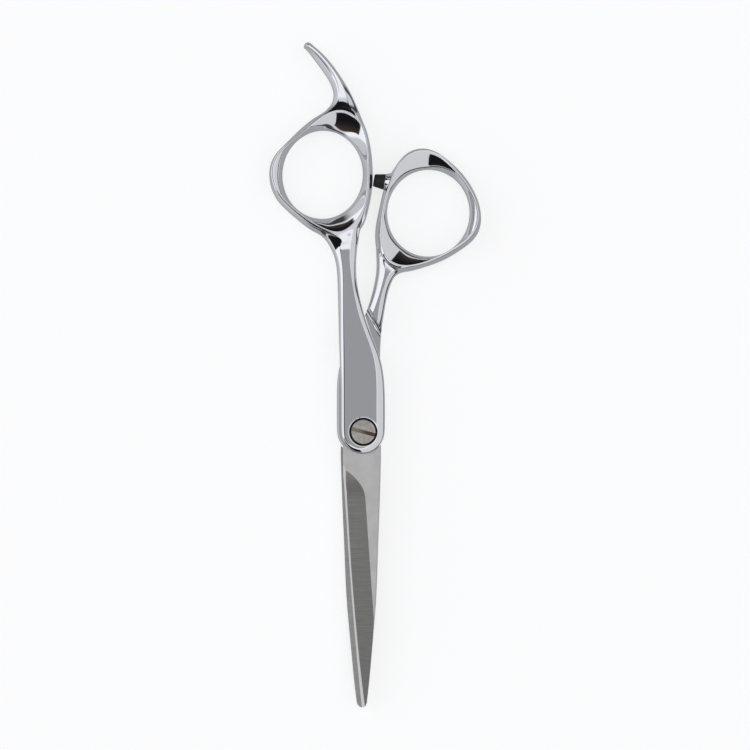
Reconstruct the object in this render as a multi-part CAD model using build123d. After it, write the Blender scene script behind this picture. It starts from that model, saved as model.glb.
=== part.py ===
from build123d import *
from math import atan2, cos, degrees, hypot, radians, sin
import os

# Hair cutting shears: offset handles with a fixed finger rest, lying flat on a table.
#
# X is across the shears, Y runs from the tips to the rings, Z is up.
# The origin is on the pivot axis, on the table. All sizes are in millimetres.
#
# The finger half is the upper one at the pivot and the thumb half is the lower one.
# Each half is a polished handle casting with a hard blade let into its underside.

# Heights of the two halves, which meet at the riding plane.
RIDING_PLANE = 3.4
RIDING_GAP = 0.1
RING_HEIGHT = 2 * RIDING_PLANE
SHANK_INSET = 0.4
TANG_INSET = 0.9

# Hub of the finger half, round about a centre a little left of the pivot.
HUB_RADIUS = 5.45
HUB_CENTRE_X = -0.22
HALVES_MIRROR_X = -0.785

# Finger holes: centre, half width, half length and tilt.
FINGER_HOLE = (-10.0, 62.9, 9.8, 10.75, -4.0)
THUMB_HOLE = (15.9, 53.5, 10.05, 10.6, -4.0)

# Rim of each ring, its crest inside it, and how far the dish falls to the hole.
FINGER_RIM = [
    (2.3, 62.9), (2.0, 68.0), (1.0, 73.0), (-1.2, 77.3), (-5.7, 79.2), (-10.2, 77.8),
    (-15.6, 73.9), (-19.6, 70.0), (-22.4, 66.4), (-23.1, 62.5), (-21.7, 57.6),
    (-18.4, 53.8), (-13.6, 49.9), (-6.2, 47.9), (-1.2, 50.0), (1.3, 55.0),
]
THUMB_RIM = [
    (28.85, 53.1), (27.2, 58.6), (24.5, 62.9), (20.7, 66.55), (15.1, 69.35), (10.2, 67.8),
    (8.0, 65.2), (5.8, 61.6), (4.1, 55.7), (3.0, 50.5), (3.1, 45.0), (4.9, 40.6),
    (9.3, 38.9), (13.3, 39.7), (19.3, 41.8), (24.6, 45.0), (27.9, 48.3),
]
RIM_EDGE = 0.75
CREST_WIDTH = 0.9
DISH_DEPTH = 1.4
HOLE_LAP = 0.05
ARM_MARGIN = 0.4
EDGE_TOLERANCE = 0.01

# Shank, tang and hub outlines.
FINGER_SHANK_RIGHT = [
    (-1.2, 50.6), (-1.4, 46.9), (-1.85, 41.5), (-1.4, 35.9), (-0.15, 29.8), (2.15, 23.7),
    (4.05, 18.8), (5.0, 15.1),
]
FINGER_SHANK_LEFT = [
    (-5.75, 12.0), (-6.05, 22.4), (-6.3, 32.5), (-6.55, 39.6), (-7.4, 44.0), (-9.6, 47.3),
    (-14.6, 50.8),
]
THUMB_SHANK_LEFT = [
    (-6.7, 14.0), (-5.0, 19.6), (-3.2, 22.8), (0.47, 28.6), (2.1, 33.5), (3.15, 38.4),
    (3.35, 42.0), (3.2, 45.5),
]
THUMB_SHANK_RIGHT = [
    (11.5, 41.3), (8.7, 38.9), (6.75, 36.2), (5.8, 33.0), (5.2, 29.8), (4.6, 26.1),
    (4.25, 21.5),
]
FINGER_SHOULDER_Y = 11.5
THUMB_LEFT_SHOULDER_Y = 11.5
THUMB_RIGHT_SHOULDER_Y = 16.5
TANG_OUTER = [
    (-12.85, 95.0), (-10.95, 93.5), (-8.5, 91.0), (-5.8, 87.4), (-3.5, 83.7), (-1.3, 78.8),
    (0.3, 75.1),
]
TANG_INNER = [
    (-12.6, 76.4), (-8.7, 78.8), (-7.2, 81.4), (-7.4, 84.0), (-8.6, 86.3), (-11.2, 89.8),
    (-13.2, 92.4), (-14.45, 94.2),
]
TANG_TIP = (-13.95, 95.3)
SHANK_EDGE = 1.0
TANG_EDGE = 0.7

# Raised shank of the thumb half: its nose is the line from one point to the other.
NOSE = [(1.3, 31.1), (4.2, 25.7)]

# Blades: a centreline that leans towards the pivot axis at the tips, then the outline
# as distances from it, spine side positive.
BLADE_CENTRE_X = -0.65
BLADE_LEAN = 0.214
BLADE_THICKNESS = 2.35
SPINE = [
    (4.92, -6.0), (4.6, -17.0), (4.12, -29.0), (3.6, -41.3), (2.77, -51.0), (1.85, -61.0),
    (1.25, -66.2),
]
CUTTING_EDGE = [
    (-4.35, -10.6), (-3.85, -17.5), (-3.1, -30.0), (-2.3, -41.5), (-1.2, -55.0), (0.02, -67.6),
]
TIP = (0.75, -67.2)
HEEL_U = -4.35
STUB_LENGTH = 13.0
STUB_THICKNESS = 1.2
STUB_SPINE_U = 4.4
STUB_CORNER = 2.5
STUB_ROOT = 8.0
GRIND_RIDGE = [(1.12, -16.8), (3.15, -47.4)]
GRIND_ANGLE = 21.0
GRIND_WHEEL_RADIUS = 17.5
GRIND_START_Y = -16.2
EDGE_LAND = 0.1
EDGE_BEVEL_ANGLE = 47.0
EDGE_BEVEL_START = 0.077
EDGE_BEVEL_LEAD = [(-6.5, -7.7), (-5.25, -10.6)]
SPINE_CHAMFER = 0.25
INNER_HOLLOW_RADIUS = 25.0
INNER_HOLLOW_DEPTH = 0.1
INNER_HOLLOW_CENTRE = (0.6, -32.0)
INNER_HOLLOW_LENGTH = 28.0

# Tension screw and the counterbore it sits in.
SCREW_HEAD_RADIUS = 2.97
SCREW_HEAD_HEIGHT = 0.8
SCREW_HEAD_TOP = 6.3
SCREW_HEAD_CHAMFER = 0.2
SCREW_RADIUS = 1.5
SCREW_END_Z = 0.0
SLOT_WIDTH = 0.9
SLOT_DEPTH = 0.4
SLOT_ANGLE = -15.0
COUNTERBORE_RADIUS = 3.45
COUNTERBORE_CHAMFER = 0.2
COUNTERBORE_DEPTH = 1.3
WASHER_BORE = 1.6
WASHER_PLAY = 0.02
HEAD_WASHER_RADIUS = 2.9
HEAD_WASHER_THICKNESS = 0.15
SPRING_WASHER_RADIUS = 2.8
SPRING_WASHER_THICKNESS = 0.13
SPRING_WASHER_RISE = 0.08

# Bush, thrust washer and nut.
BUSH_RADIUS = 2.05
BUSH_BORE = 1.54
THUMB_BORE = 1.7
THRUST_BORE = 1.6
THRUST_RADIUS = 3.2
THRUST_THICKNESS = 0.3
THRUST_RECESS = 0.25
THRUST_PLAY = 0.05
NUT_RADIUS = 3.2
NUT_HEIGHT = 1.5
NUT_BORE = 1.53
NUT_CHAMFER = 0.2
INSERT_RADIUS = 2.1
INSERT_HEIGHT = 0.45
PIN_HOLE_RADIUS = 0.4
PIN_HOLE_OFFSET = 2.45
PIN_HOLE_DEPTH = 0.8
SNUG = 0.01

# Bumper on the thumb ring.
BOSS_CENTRE = (5.25, 61.15)
BOSS_ANGLE = 171.0
BOSS_RADIUS = 2.05
BOSS_DEPTH = 1.5
BUMPER_LENGTH = 2.75
BUMPER_ROOT_RADIUS = 1.95
BUMPER_END_RADIUS = 1.5
BUMPER_ROUND = 0.3
STUD_RADIUS = 0.7
STUD_IN_BUMPER = 1.9
STUD_IN_RING = 2.3

THUMB_HUB_CENTRE_X = 2 * HALVES_MIRROR_X - HUB_CENTRE_X
UPPER_FACE = RIDING_PLANE + RIDING_GAP / 2
LOWER_FACE = RIDING_PLANE - RIDING_GAP / 2
FINGER_TOP = RING_HEIGHT - SHANK_INSET
COUNTERBORE_FLOOR = FINGER_TOP - COUNTERBORE_DEPTH
# Cutters reach this far past what they cut: along the part, and across or above it.
CLEAR = 40.0
WIDE = 15.0
# A cutter that goes through a face ends this far beyond it.
PAST = 1.0


def flip(part):
    """The thumb half's copy of a finger-half piece: turned over about the riding plane."""
    return Pos(0, 0, RING_HEIGHT) * mirror(part, about=Plane.XY)


def disc(radius, low, high, x=0.0, y=0.0):
    """An upright cylinder from one height to another."""
    middle = (low + high) / 2
    return Pos(x, y, middle) * Cylinder(radius, high - low)


def tube(bore, radius, low, high):
    """An upright ring from one height to another."""
    return disc(radius, low, high) - disc(bore, low - PAST, high + PAST)


def slab(face, low, high):
    """A flat outline raised from one height to another."""
    return Pos(0, 0, low) * extrude(face, high - low)


def hole_point(hole, toward, shrink):
    """The point of a tilted oval hole that lies toward another point."""
    x, y, half_width, half_length, tilt = hole
    turn = radians(tilt)
    dx, dy = toward[0] - x, toward[1] - y
    along = dx * cos(turn) + dy * sin(turn)
    across = -dx * sin(turn) + dy * cos(turn)
    reach = 1 / hypot(along / (half_width - shrink), across / (half_length - shrink))
    return (x + dx * reach, y + dy * reach)


def crest_point(hole, rim, width):
    """A rim point moved inward, toward the hole's centre."""
    dx, dy = hole[0] - rim[0], hole[1] - rim[1]
    share = width / hypot(dx, dy)
    return (rim[0] + dx * share, rim[1] + dy * share)


def top_and_bottom(part, height, low):
    """The outer edges of an upright part at its upper and lower faces."""
    edges = part.edges()
    upper = edges.filter_by_position(Axis.Z, height - EDGE_TOLERANCE, height + EDGE_TOLERANCE)
    lower = edges.filter_by_position(Axis.Z, low - EDGE_TOLERANCE, low + EDGE_TOLERANCE)
    return upper + lower


def make_ring(rim, hole):
    """One ring: a chamfered rim with a dish on each side that falls to the oval hole."""
    blank = slab(make_face(Spline(*rim, periodic=True)), 0, RING_HEIGHT)
    blank = chamfer(top_and_bottom(blank, RING_HEIGHT, 0), RIM_EDGE)
    x, y, half_width, half_length, tilt = hole
    oval = Ellipse(half_width, half_length)
    opening = Pos(x, y, -PAST) * Rot(0, 0, tilt) * extrude(oval, RING_HEIGHT + 2 * PAST)
    crest = [crest_point(hole, p, RIM_EDGE + CREST_WIDTH) for p in rim]
    mouth = [hole_point(hole, p, HOLE_LAP) for p in rim]
    upper = Pos(0, 0, RING_HEIGHT + HOLE_LAP) * Spline(*crest, periodic=True)
    lower = Pos(0, 0, RING_HEIGHT - DISH_DEPTH) * Spline(*mouth, periodic=True)
    dish = Solid.make_loft([Wire(upper), Wire(lower)], True)
    return blank - opening - dish - flip(dish)


def finger_shank_face():
    """Outline of the finger half's shank and hub."""
    right = HUB_CENTRE_X + HUB_RADIUS
    left = HUB_CENTRE_X - HUB_RADIUS
    side = Spline(*FINGER_SHANK_RIGHT, (right, FINGER_SHOULDER_Y), tangents=[(0, -1), (0, -1)])
    edge = Line((right, FINGER_SHOULDER_Y), (right, 0))
    end = ThreePointArc((right, 0), (HUB_CENTRE_X, -HUB_RADIUS), (left, 0))
    other = Spline((left, 0), *FINGER_SHANK_LEFT, tangents=[(0, 1), (-1, 0.6)])
    close = Line(FINGER_SHANK_LEFT[-1], FINGER_SHANK_RIGHT[0])
    return make_face([side, edge, end, other, close])


def thumb_shank_face():
    """Outline of the thumb half's shank and hub, whose hub mirrors the finger half's."""
    right = THUMB_HUB_CENTRE_X + HUB_RADIUS
    left = THUMB_HUB_CENTRE_X - HUB_RADIUS
    shoulder = (right, THUMB_RIGHT_SHOULDER_Y)
    side = Spline(*THUMB_SHANK_RIGHT, shoulder, tangents=[(-1, -0.8), (0, -1)])
    run = Line(shoulder, (right, 0))
    end = ThreePointArc((right, 0), (THUMB_HUB_CENTRE_X, -HUB_RADIUS), (left, 0))
    edge = Line((left, 0), (left, THUMB_LEFT_SHOULDER_Y))
    other = Spline((left, THUMB_LEFT_SHOULDER_Y), *THUMB_SHANK_LEFT, tangents=[(0, 1), (0, 1)])
    close = Line(THUMB_SHANK_LEFT[-1], THUMB_SHANK_RIGHT[0])
    return make_face([side, run, end, edge, other, close])


def tang_face():
    """Outline of the finger rest, which curves up and away from the ring."""
    outer = Spline(*TANG_OUTER)
    inner = Spline(*TANG_INNER)
    tip = ThreePointArc(TANG_INNER[-1], TANG_TIP, TANG_OUTER[0])
    foot = Line(TANG_OUTER[-1], TANG_INNER[0])
    return make_face([outer, inner, tip, foot])


def make_shank(face):
    """A chamfered shank and hub, still at full height from end to end."""
    body = slab(face, SHANK_INSET, RING_HEIGHT - SHANK_INSET)
    return chamfer(top_and_bottom(body, RING_HEIGHT - SHANK_INSET, SHANK_INSET), SHANK_EDGE)


def make_tang():
    """The finger rest, thinner than the ring."""
    low, high = TANG_INSET, RING_HEIGHT - TANG_INSET
    body = slab(tang_face(), low, high)
    return chamfer(top_and_bottom(body, high, low), TANG_EDGE)


def nose_cutter():
    """What the thumb half loses above its inner face, up to the raised shank's nose."""
    (x1, y1), (x2, y2) = NOSE
    dx, dy = x1 - x2, y1 - y2
    far = (x1 + 2 * dx, y1 + 2 * dy)
    near = (x2 - 2 * dx, y2 - 2 * dy)
    corners = [far, near, (near[0], -CLEAR), (-CLEAR, -CLEAR), (-CLEAR, far[1])]
    return slab(make_face(Polyline(*corners, close=True)), LOWER_FACE, RING_HEIGHT + PAST)


def mirrored_x(part):
    """A part mirrored left to right about the line between the halves."""
    return mirror(part, about=Plane(origin=(HALVES_MIRROR_X, 0, 0), z_dir=(1, 0, 0)))


def blade_side(part):
    """Places a blade made about its own centreline on the finger half."""
    return Pos(BLADE_CENTRE_X, 0, UPPER_FACE) * Rot(0, 0, BLADE_LEAN) * part


def thumb_side(part):
    """Places a blade made about its own centreline on the thumb half, turned over."""
    turned = mirror(mirror(part, about=Plane.YZ), about=Plane.XY)
    return Pos(BLADE_CENTRE_X, 0, LOWER_FACE) * Rot(0, 0, BLADE_LEAN) * turned


def stub_solid(play):
    """The blade's stub under the hub, as wide as the blade, with rounded far corners."""
    wide = STUB_SPINE_U - HEEL_U + 2 * play
    centre = (STUB_SPINE_U + HEEL_U) / 2
    tall = STUB_LENGTH + STUB_ROOT + play
    shape = Pos(centre, STUB_LENGTH + play - tall / 2) * Rectangle(wide, tall)
    upper_corners = shape.vertices().group_by(Axis.Y)[-1]
    shape = fillet(upper_corners, STUB_CORNER)
    return extrude(shape, STUB_THICKNESS)


def grind_cutter():
    """The grinding wheel's path: a tilted plane along the blade that lifts at its heel."""
    (u1, v1), (u2, v2) = GRIND_RIDGE
    along = degrees(atan2(u2 - u1, -(v2 - v1)))
    at_start = u1 + (u2 - u1) * (GRIND_START_Y - v1) / (v2 - v1)
    ridge = Location((at_start, GRIND_START_Y, BLADE_THICKNESS), (0, 0, along))
    tilt = Rot(0, -GRIND_ANGLE, 0)
    run = Pos(0, -CLEAR, WIDE / 2) * Box(2 * WIDE, 2 * CLEAR, WIDE)
    wheel = Pos(0, 0, GRIND_WHEEL_RADIUS) * Rot(0, 90, 0) * Cylinder(GRIND_WHEEL_RADIUS, 2 * WIDE)
    return ridge * tilt * (run + wheel)


def edge_cutter():
    """What the sharpening stone takes off: all that lies outside a slope up from the edge."""
    edge = Spline(*CUTTING_EDGE)
    start = edge @ EDGE_BEVEL_START
    end = edge @ 1
    past_tip = end + (edge % 1) * WIDE
    first, middle = EDGE_BEVEL_LEAD
    outside = Polyline(past_tip, (-WIDE, past_tip.Y), (-WIDE, first[1]), first)
    lead = ThreePointArc(first, middle, start)
    face = make_face([lead, edge.trim(EDGE_BEVEL_START, 1), Line(end, past_tip), outside])
    slope = radians(EDGE_BEVEL_ANGLE)
    up_the_slope = (cos(slope), 0, sin(slope))
    return Pos(0, 0, EDGE_LAND) * extrude(face, 2 * BLADE_THICKNESS, dir=up_the_slope)


def spine_cutter():
    """What the small chamfer along a blade's spine takes off."""
    spine = Spline(*SPINE)
    above = (spine @ 0) - (spine % 0) * WIDE
    below = (spine @ 1) + (spine % 1) * WIDE
    outside = Polyline(below, (WIDE, below.Y), (WIDE, above.Y), above)
    face = make_face([Line(above, spine @ 0), spine, Line(spine @ 1, below), outside])
    return Pos(-SPINE_CHAMFER, 0, BLADE_THICKNESS) * extrude(face, BLADE_THICKNESS, dir=(1, 0, -1))


def inner_hollow():
    """The shallow hollow ground along a blade's inner face."""
    (u, v), length = INNER_HOLLOW_CENTRE, INNER_HOLLOW_LENGTH
    place = Pos(u, v, INNER_HOLLOW_DEPTH - INNER_HOLLOW_RADIUS) * Rot(90, 0, 0)
    return place * Cylinder(INNER_HOLLOW_RADIUS, length)


def make_blade():
    """A blade about its own centreline, inner face at height 0, spine side positive."""
    spine = Spline(*SPINE)
    edge = Spline(*CUTTING_EDGE)
    tip = Spline(SPINE[-1], TIP, CUTTING_EDGE[-1])
    heel = Line(CUTTING_EDGE[0], (HEEL_U, 0))
    back = Line((HEEL_U, 0), (SPINE[0][0], 0))
    side = Line((SPINE[0][0], 0), SPINE[0])
    plate = extrude(make_face([spine, tip, edge, heel, back, side]), BLADE_THICKNESS)
    return plate - grind_cutter() - edge_cutter() - spine_cutter() - inner_hollow()


def hub_zone(centre_x, play=0.0):
    """The space of one hub: its round end and a band up to its shank."""
    radius = HUB_RADIUS + play
    band = Pos(centre_x, CLEAR / 2, RIDING_PLANE) * Box(2 * radius, CLEAR, 2 * RING_HEIGHT)
    return disc(radius, -RIDING_PLANE, RING_HEIGHT + RIDING_PLANE, centre_x) + band


def set_in_hub(blade, stub, centre_x):
    """A blade cut off at its hub's round end, with the stub that goes into the hub."""
    return blade - hub_zone(centre_x) + (stub & hub_zone(centre_x, PAST))


def make_finger_blade():
    """The upper blade, with the hole for the bush."""
    blade = set_in_hub(blade_side(make_blade()), blade_side(stub_solid(0)), HUB_CENTRE_X)
    return blade - disc(BUSH_RADIUS, 0, RING_HEIGHT)


def make_thumb_blade():
    """The lower blade, with the thrust washer's recess and a hole for the screw."""
    blade = set_in_hub(thumb_side(make_blade()), thumb_side(stub_solid(0)), THUMB_HUB_CENTRE_X)
    recess = disc(THRUST_RADIUS + THRUST_PLAY, LOWER_FACE - THRUST_RECESS, RING_HEIGHT)
    return blade - recess - disc(THUMB_BORE, 0, RING_HEIGHT)


def ring_inside(hole):
    """A cutter that keeps shanks and tangs out of a ring's hole and dish."""
    x, y, half_width, half_length, tilt = hole
    oval = Ellipse(half_width + ARM_MARGIN, half_length + ARM_MARGIN)
    return Pos(x, y, -PAST) * Rot(0, 0, tilt) * extrude(oval, RING_HEIGHT + 2 * PAST)


def counterbore_mouth():
    """The small chamfer round the counterbore's mouth."""
    wide = COUNTERBORE_RADIUS + COUNTERBORE_CHAMFER
    middle = FINGER_TOP - COUNTERBORE_CHAMFER / 2
    return Pos(0, 0, middle) * Cone(COUNTERBORE_RADIUS, wide, COUNTERBORE_CHAMFER)


def make_finger_handle():
    """Ring, finger rest, shank and hub of the upper half, in one polished casting."""
    arms = make_shank(finger_shank_face()) + make_tang()
    body = make_ring(FINGER_RIM, FINGER_HOLE) + (arms - ring_inside(FINGER_HOLE))
    body -= mirrored_x(flip(nose_cutter()))
    body -= blade_side(stub_solid(SNUG))
    body -= disc(BUSH_RADIUS, 0, RING_HEIGHT)
    body -= disc(COUNTERBORE_RADIUS, COUNTERBORE_FLOOR, RING_HEIGHT)
    return body - counterbore_mouth()


def bumper_axis(reach):
    """Where the bumper's axis is, a given way out from the boss, pointing outward."""
    turn = radians(BOSS_ANGLE)
    x = BOSS_CENTRE[0] + reach * cos(turn)
    y = BOSS_CENTRE[1] + reach * sin(turn)
    return Plane(origin=(x, y, RIDING_PLANE), z_dir=(cos(turn), sin(turn), 0))


def rod(radius, start, end):
    """A round bar on the bumper's axis, from one distance out to another."""
    return extrude(bumper_axis(start) * Circle(radius), end - start)


def make_thumb_handle():
    """Ring, raised shank and hub of the lower half, in one polished casting."""
    arm = make_shank(thumb_shank_face()) - ring_inside(THUMB_HOLE)
    body = make_ring(THUMB_RIM, THUMB_HOLE) + arm
    body += rod(BOSS_RADIUS, -BOSS_DEPTH, 0)
    body -= nose_cutter()
    body -= thumb_side(stub_solid(SNUG))
    body -= disc(THUMB_BORE, 0, RING_HEIGHT)
    body -= disc(NUT_RADIUS, -PAST, NUT_HEIGHT)
    body -= rod(STUD_RADIUS, -STUD_IN_RING, PAST)
    return body


def make_bumper():
    """A tapered rubber plug with a rounded end, moulded over its stud."""
    plug = Pos(0, 0, BUMPER_LENGTH / 2) * Cone(BUMPER_ROOT_RADIUS, BUMPER_END_RADIUS, BUMPER_LENGTH)
    plug = fillet(plug.edges().group_by(Axis.Z)[-1], BUMPER_ROUND)
    return bumper_axis(0).location * plug - rod(STUD_RADIUS, -PAST, STUD_IN_BUMPER)


def make_bumper_stud():
    """The steel stud that holds the bumper, pressed into the ring."""
    return rod(STUD_RADIUS, -STUD_IN_RING, STUD_IN_BUMPER)


def make_pivot_bush():
    """The bearing bush in the finger half's hub."""
    return tube(BUSH_BORE, BUSH_RADIUS, UPPER_FACE, COUNTERBORE_FLOOR)


def make_thrust_washer():
    """The thin slippery washer that the two hubs turn on."""
    floor = LOWER_FACE - THRUST_RECESS
    return tube(THRUST_BORE, THRUST_RADIUS, floor, floor + THRUST_THICKNESS)


def make_lock_nut():
    """The round nut in the back of the thumb hub, with two holes for a pin spanner."""
    nut = disc(NUT_RADIUS, 0, NUT_HEIGHT)
    nut = chamfer(nut.edges().group_by(Axis.Z)[0], NUT_CHAMFER)
    nut -= disc(NUT_BORE, -PAST, NUT_HEIGHT + PAST)
    nut -= disc(INSERT_RADIUS, NUT_HEIGHT - INSERT_HEIGHT, NUT_HEIGHT + PAST)
    for side in (-1, 1):
        nut -= disc(PIN_HOLE_RADIUS, -PAST, PIN_HOLE_DEPTH, side * PIN_HOLE_OFFSET)
    return nut


def make_nut_insert():
    """The nylon ring that stops the screw from turning by itself."""
    return tube(NUT_BORE, INSERT_RADIUS, NUT_HEIGHT - INSERT_HEIGHT, NUT_HEIGHT)


def make_tension_screw():
    """The slotted screw that sets the tension between the halves."""
    bottom = SCREW_HEAD_TOP - SCREW_HEAD_HEIGHT
    head = disc(SCREW_HEAD_RADIUS, bottom, SCREW_HEAD_TOP)
    head = chamfer(head.edges().group_by(Axis.Z)[-1], SCREW_HEAD_CHAMFER)
    shank = disc(SCREW_RADIUS, SCREW_END_Z, bottom)
    shank = chamfer(shank.edges().group_by(Axis.Z)[0], SCREW_HEAD_CHAMFER)
    slot = Pos(0, 0, SCREW_HEAD_TOP) * Rot(0, 0, SLOT_ANGLE)
    slot *= Box(3 * SCREW_HEAD_RADIUS, SLOT_WIDTH, 2 * SLOT_DEPTH)
    return head + shank - slot


def make_head_washer():
    """The flat washer on the counterbore's floor."""
    low = COUNTERBORE_FLOOR + WASHER_PLAY
    return tube(WASHER_BORE, HEAD_WASHER_RADIUS, low, low + HEAD_WASHER_THICKNESS)


def make_spring_washer():
    """The curved spring washer between the flat washer and the screw's head."""
    low = COUNTERBORE_FLOOR + WASHER_PLAY + HEAD_WASHER_THICKNESS
    blank = tube(WASHER_BORE, SPRING_WASHER_RADIUS, low, low + PAST)
    bend = SPRING_WASHER_RADIUS**2 / (2 * SPRING_WASHER_RISE)
    crown = low + SPRING_WASHER_RISE
    outer = Pos(0, 0, crown + SPRING_WASHER_THICKNESS - bend) * Rot(90, 0, 0)
    inner = Pos(0, 0, crown - bend) * Rot(90, 0, 0)
    span = 4 * SPRING_WASHER_RADIUS
    return (blank & outer * Cylinder(bend, span)) - inner * Cylinder(bend, span)


PARTS = {
    "finger_handle": make_finger_handle,
    "finger_blade": make_finger_blade,
    "pivot_bush": make_pivot_bush,
    "thumb_handle": make_thumb_handle,
    "thumb_blade": make_thumb_blade,
    "bumper": make_bumper,
    "bumper_stud": make_bumper_stud,
    "thrust_washer": make_thrust_washer,
    "lock_nut": make_lock_nut,
    "nut_insert": make_nut_insert,
    "tension_screw": make_tension_screw,
    "head_washer": make_head_washer,
    "spring_washer": make_spring_washer,
}

os.makedirs("parts", exist_ok=True)
for name, make in PARTS.items():
    export_step(make(), f"parts/{name}.step")
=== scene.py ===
import math

import bmesh
import bpy
import numpy as np
from mathutils import Matrix, Vector


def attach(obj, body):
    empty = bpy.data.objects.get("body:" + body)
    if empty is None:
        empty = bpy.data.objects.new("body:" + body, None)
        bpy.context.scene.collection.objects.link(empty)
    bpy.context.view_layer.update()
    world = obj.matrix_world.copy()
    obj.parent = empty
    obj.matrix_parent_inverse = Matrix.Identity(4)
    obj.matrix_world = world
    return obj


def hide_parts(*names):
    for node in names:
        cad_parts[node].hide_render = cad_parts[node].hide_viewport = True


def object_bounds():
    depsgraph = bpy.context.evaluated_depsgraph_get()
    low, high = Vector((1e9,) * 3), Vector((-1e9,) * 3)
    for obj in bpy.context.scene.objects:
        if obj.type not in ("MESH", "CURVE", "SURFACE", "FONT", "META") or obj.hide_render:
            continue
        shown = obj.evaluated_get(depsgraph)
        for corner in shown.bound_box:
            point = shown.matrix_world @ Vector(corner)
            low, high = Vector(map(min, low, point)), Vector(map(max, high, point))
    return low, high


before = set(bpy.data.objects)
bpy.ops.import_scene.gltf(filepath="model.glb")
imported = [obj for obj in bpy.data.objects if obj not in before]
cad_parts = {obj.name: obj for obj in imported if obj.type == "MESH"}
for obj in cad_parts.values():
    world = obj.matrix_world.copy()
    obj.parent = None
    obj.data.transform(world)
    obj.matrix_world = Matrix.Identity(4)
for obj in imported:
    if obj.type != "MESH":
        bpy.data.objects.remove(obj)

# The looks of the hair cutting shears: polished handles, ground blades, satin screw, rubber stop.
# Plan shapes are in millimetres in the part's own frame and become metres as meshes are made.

cad_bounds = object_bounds()
MM = 0.001

# The height of the plane halfway up the rings, then heights from that plane.
MID = 3.4
CREST = 3.4
RIDING_FACE = 0.05

# Ring mesh: segments round the hole, those an arm takes, the row an arm starts from, the last row,
# and the columns at each side of an arm that its bevels take.
SEGMENTS = 96
ARM_COLUMNS = 10
SHANK_ROW = 12
LAST_ROW = 16
BEVEL_COLUMNS = 2
# Arm mesh: the rows of its wall, and the row at the edge of its flat.
WALL_ROWS = LAST_ROW - SHANK_ROW
FLAT_ROW = WALL_ROWS + BEVEL_COLUMNS
SUBDIVISION = 2

# Ring section, from the hole outwards: the hole wall, which takes at most a share of the width and
# has its curve as (share of width, share of height), then the scoop, the crest, the slope outside
# it, the fillet where an arm joins, and the rim.
WALL_LIMIT = 0.9
WALL_CURVE = ((0.07, 0.3), (0.26, 0.52), (0.6, 0.75), (1.0, 1.0))
SCOOP_FOOT = 0.12
SCOOP_SLOPE = 0.40
SCOOP_CURVE = 1.25
SCOOP_SHARES = (0.3, 0.6, 0.85)
CREST_SHOULDER = 0.26
CREST_DROP = 0.05
CREST_FLAT = 0.09
OUTER_SLOPE = 0.27
FILLET_REACH = 0.9
FILLET_DROP = 0.2
RIM_ROUND = 0.42
RIM_INSET = 0.12
RIM_WAIST = 0.4
# The thin side of a ring begins this far to the thick side of its hole's centre.
TAPER_START = 6.0

# Arm section: the most of the width that the outline's rounding may take, the (inset, drop) of two
# places on it as shares of its size, and the small bevel at the edge of the flat.
BEND_LIMIT = 0.55
BEND_FOOT = (0.08, 1.5)
BEND_HALFWAY = (0.42, 0.72)
FLAT_INSET = 0.06
FLAT_SINK = 0.02
SOFT_SINK = 0.1

# By ring: wall width and its gain to the right, rim drop and its gain to the left, and taper.
FINGER_RING_FORM = {"wall": (1.1, 1.4), "rim": (1.0, 0.0), "taper": 0.045}
THUMB_RING_FORM = {"wall": (0.55, 0.75), "rim": (1.0, 1.1), "taper": -0.045}

# The studio, with angles in degrees: the tint of its light, brightness by angle from straight up on
# the left and elsewhere, where the left is and how soft its edge is, and dark cards by direction,
# half width, angle from straight up and half height. A card's colours are for high and low.
SKY_TINT = (0.985, 1.0, 1.04)
LEFT_SKY = [
    (0, 0.34), (8, 0.34), (9.5, 0.03), (17, 0.03), (19, 1.0), (66, 1.0), (71, 0.62), (100, 0.55),
    (130, 0.4), (180, 0.45),
]
RIGHT_SKY = [
    (0, 0.34), (8, 0.34), (11, 0.95), (19, 0.95), (23, 0.68), (64, 0.66), (69, 0.05), (84, 0.05),
    (90, 0.4), (130, 0.36), (180, 0.45),
]
LEFT_DIRECTION = 178.0
LEFT_EDGE = (42.0, 58.0)
DARK_CARDS = [(233, 35, 44, 16), (95, 41, 44, 16)]
CARD_COLOURS = ((0.008, 0.008, 0.01), (0.045, 0.036, 0.03))
CARD_FADE = (44.0, 62.0)
CARD_EDGE = 0.6

# The picture: how wide the view is at the shears, its centre, and the lens in millimetres.
FRAME_WIDTH = 183.75
FRAME_CENTRE = (2.84, 13.87)
LENS = 120
SENSOR = 36
FLOOR_HALF = 5000.0
FLOOR_GAP = 0.05
FLOOR_GLOW = 0.72
# Faces that meet at more than this angle keep a sharp edge.
CREASE = 28
LATHE_SEGMENTS = 128
STUD_SEGMENTS = 48

# Colours. A pair is a darker and a lighter shade.
POLISHED = (0.88, 0.88, 0.89)
# Painted shade for the deep narrow gap round the screw, standing in for its shadow.
POCKET_SHADE = (0.03, 0.027, 0.024)
SATIN = ((0.70, 0.68, 0.655), (0.78, 0.76, 0.735))
LAPPED = ((0.40, 0.39, 0.375), (0.47, 0.46, 0.44))
HOLLOW = ((0.225, 0.22, 0.208), (0.285, 0.278, 0.265))
RUN_OUT = (0.62, 0.605, 0.57)
HONED = (1.0, 0.99, 0.975)
TURNED = ((0.50, 0.455, 0.40), (0.68, 0.63, 0.57))
# A painted highlight for the screw's rim, brighter than its turned steel.
RIM_HIGHLIGHT = (1.0, 0.99, 0.97)
# Painted shade and reflection in the slot, from its paler end to its darker one.
SLOT_SHADE = ((0.36, 0.31, 0.25), (0.13, 0.10, 0.065))

# The part of a noise's range that a look uses, narrow for a clear pattern or nearly all of it.
CLEAR_NOISE = (0.35, 0.65)
FULL_NOISE = (0.3, 0.7)
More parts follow.
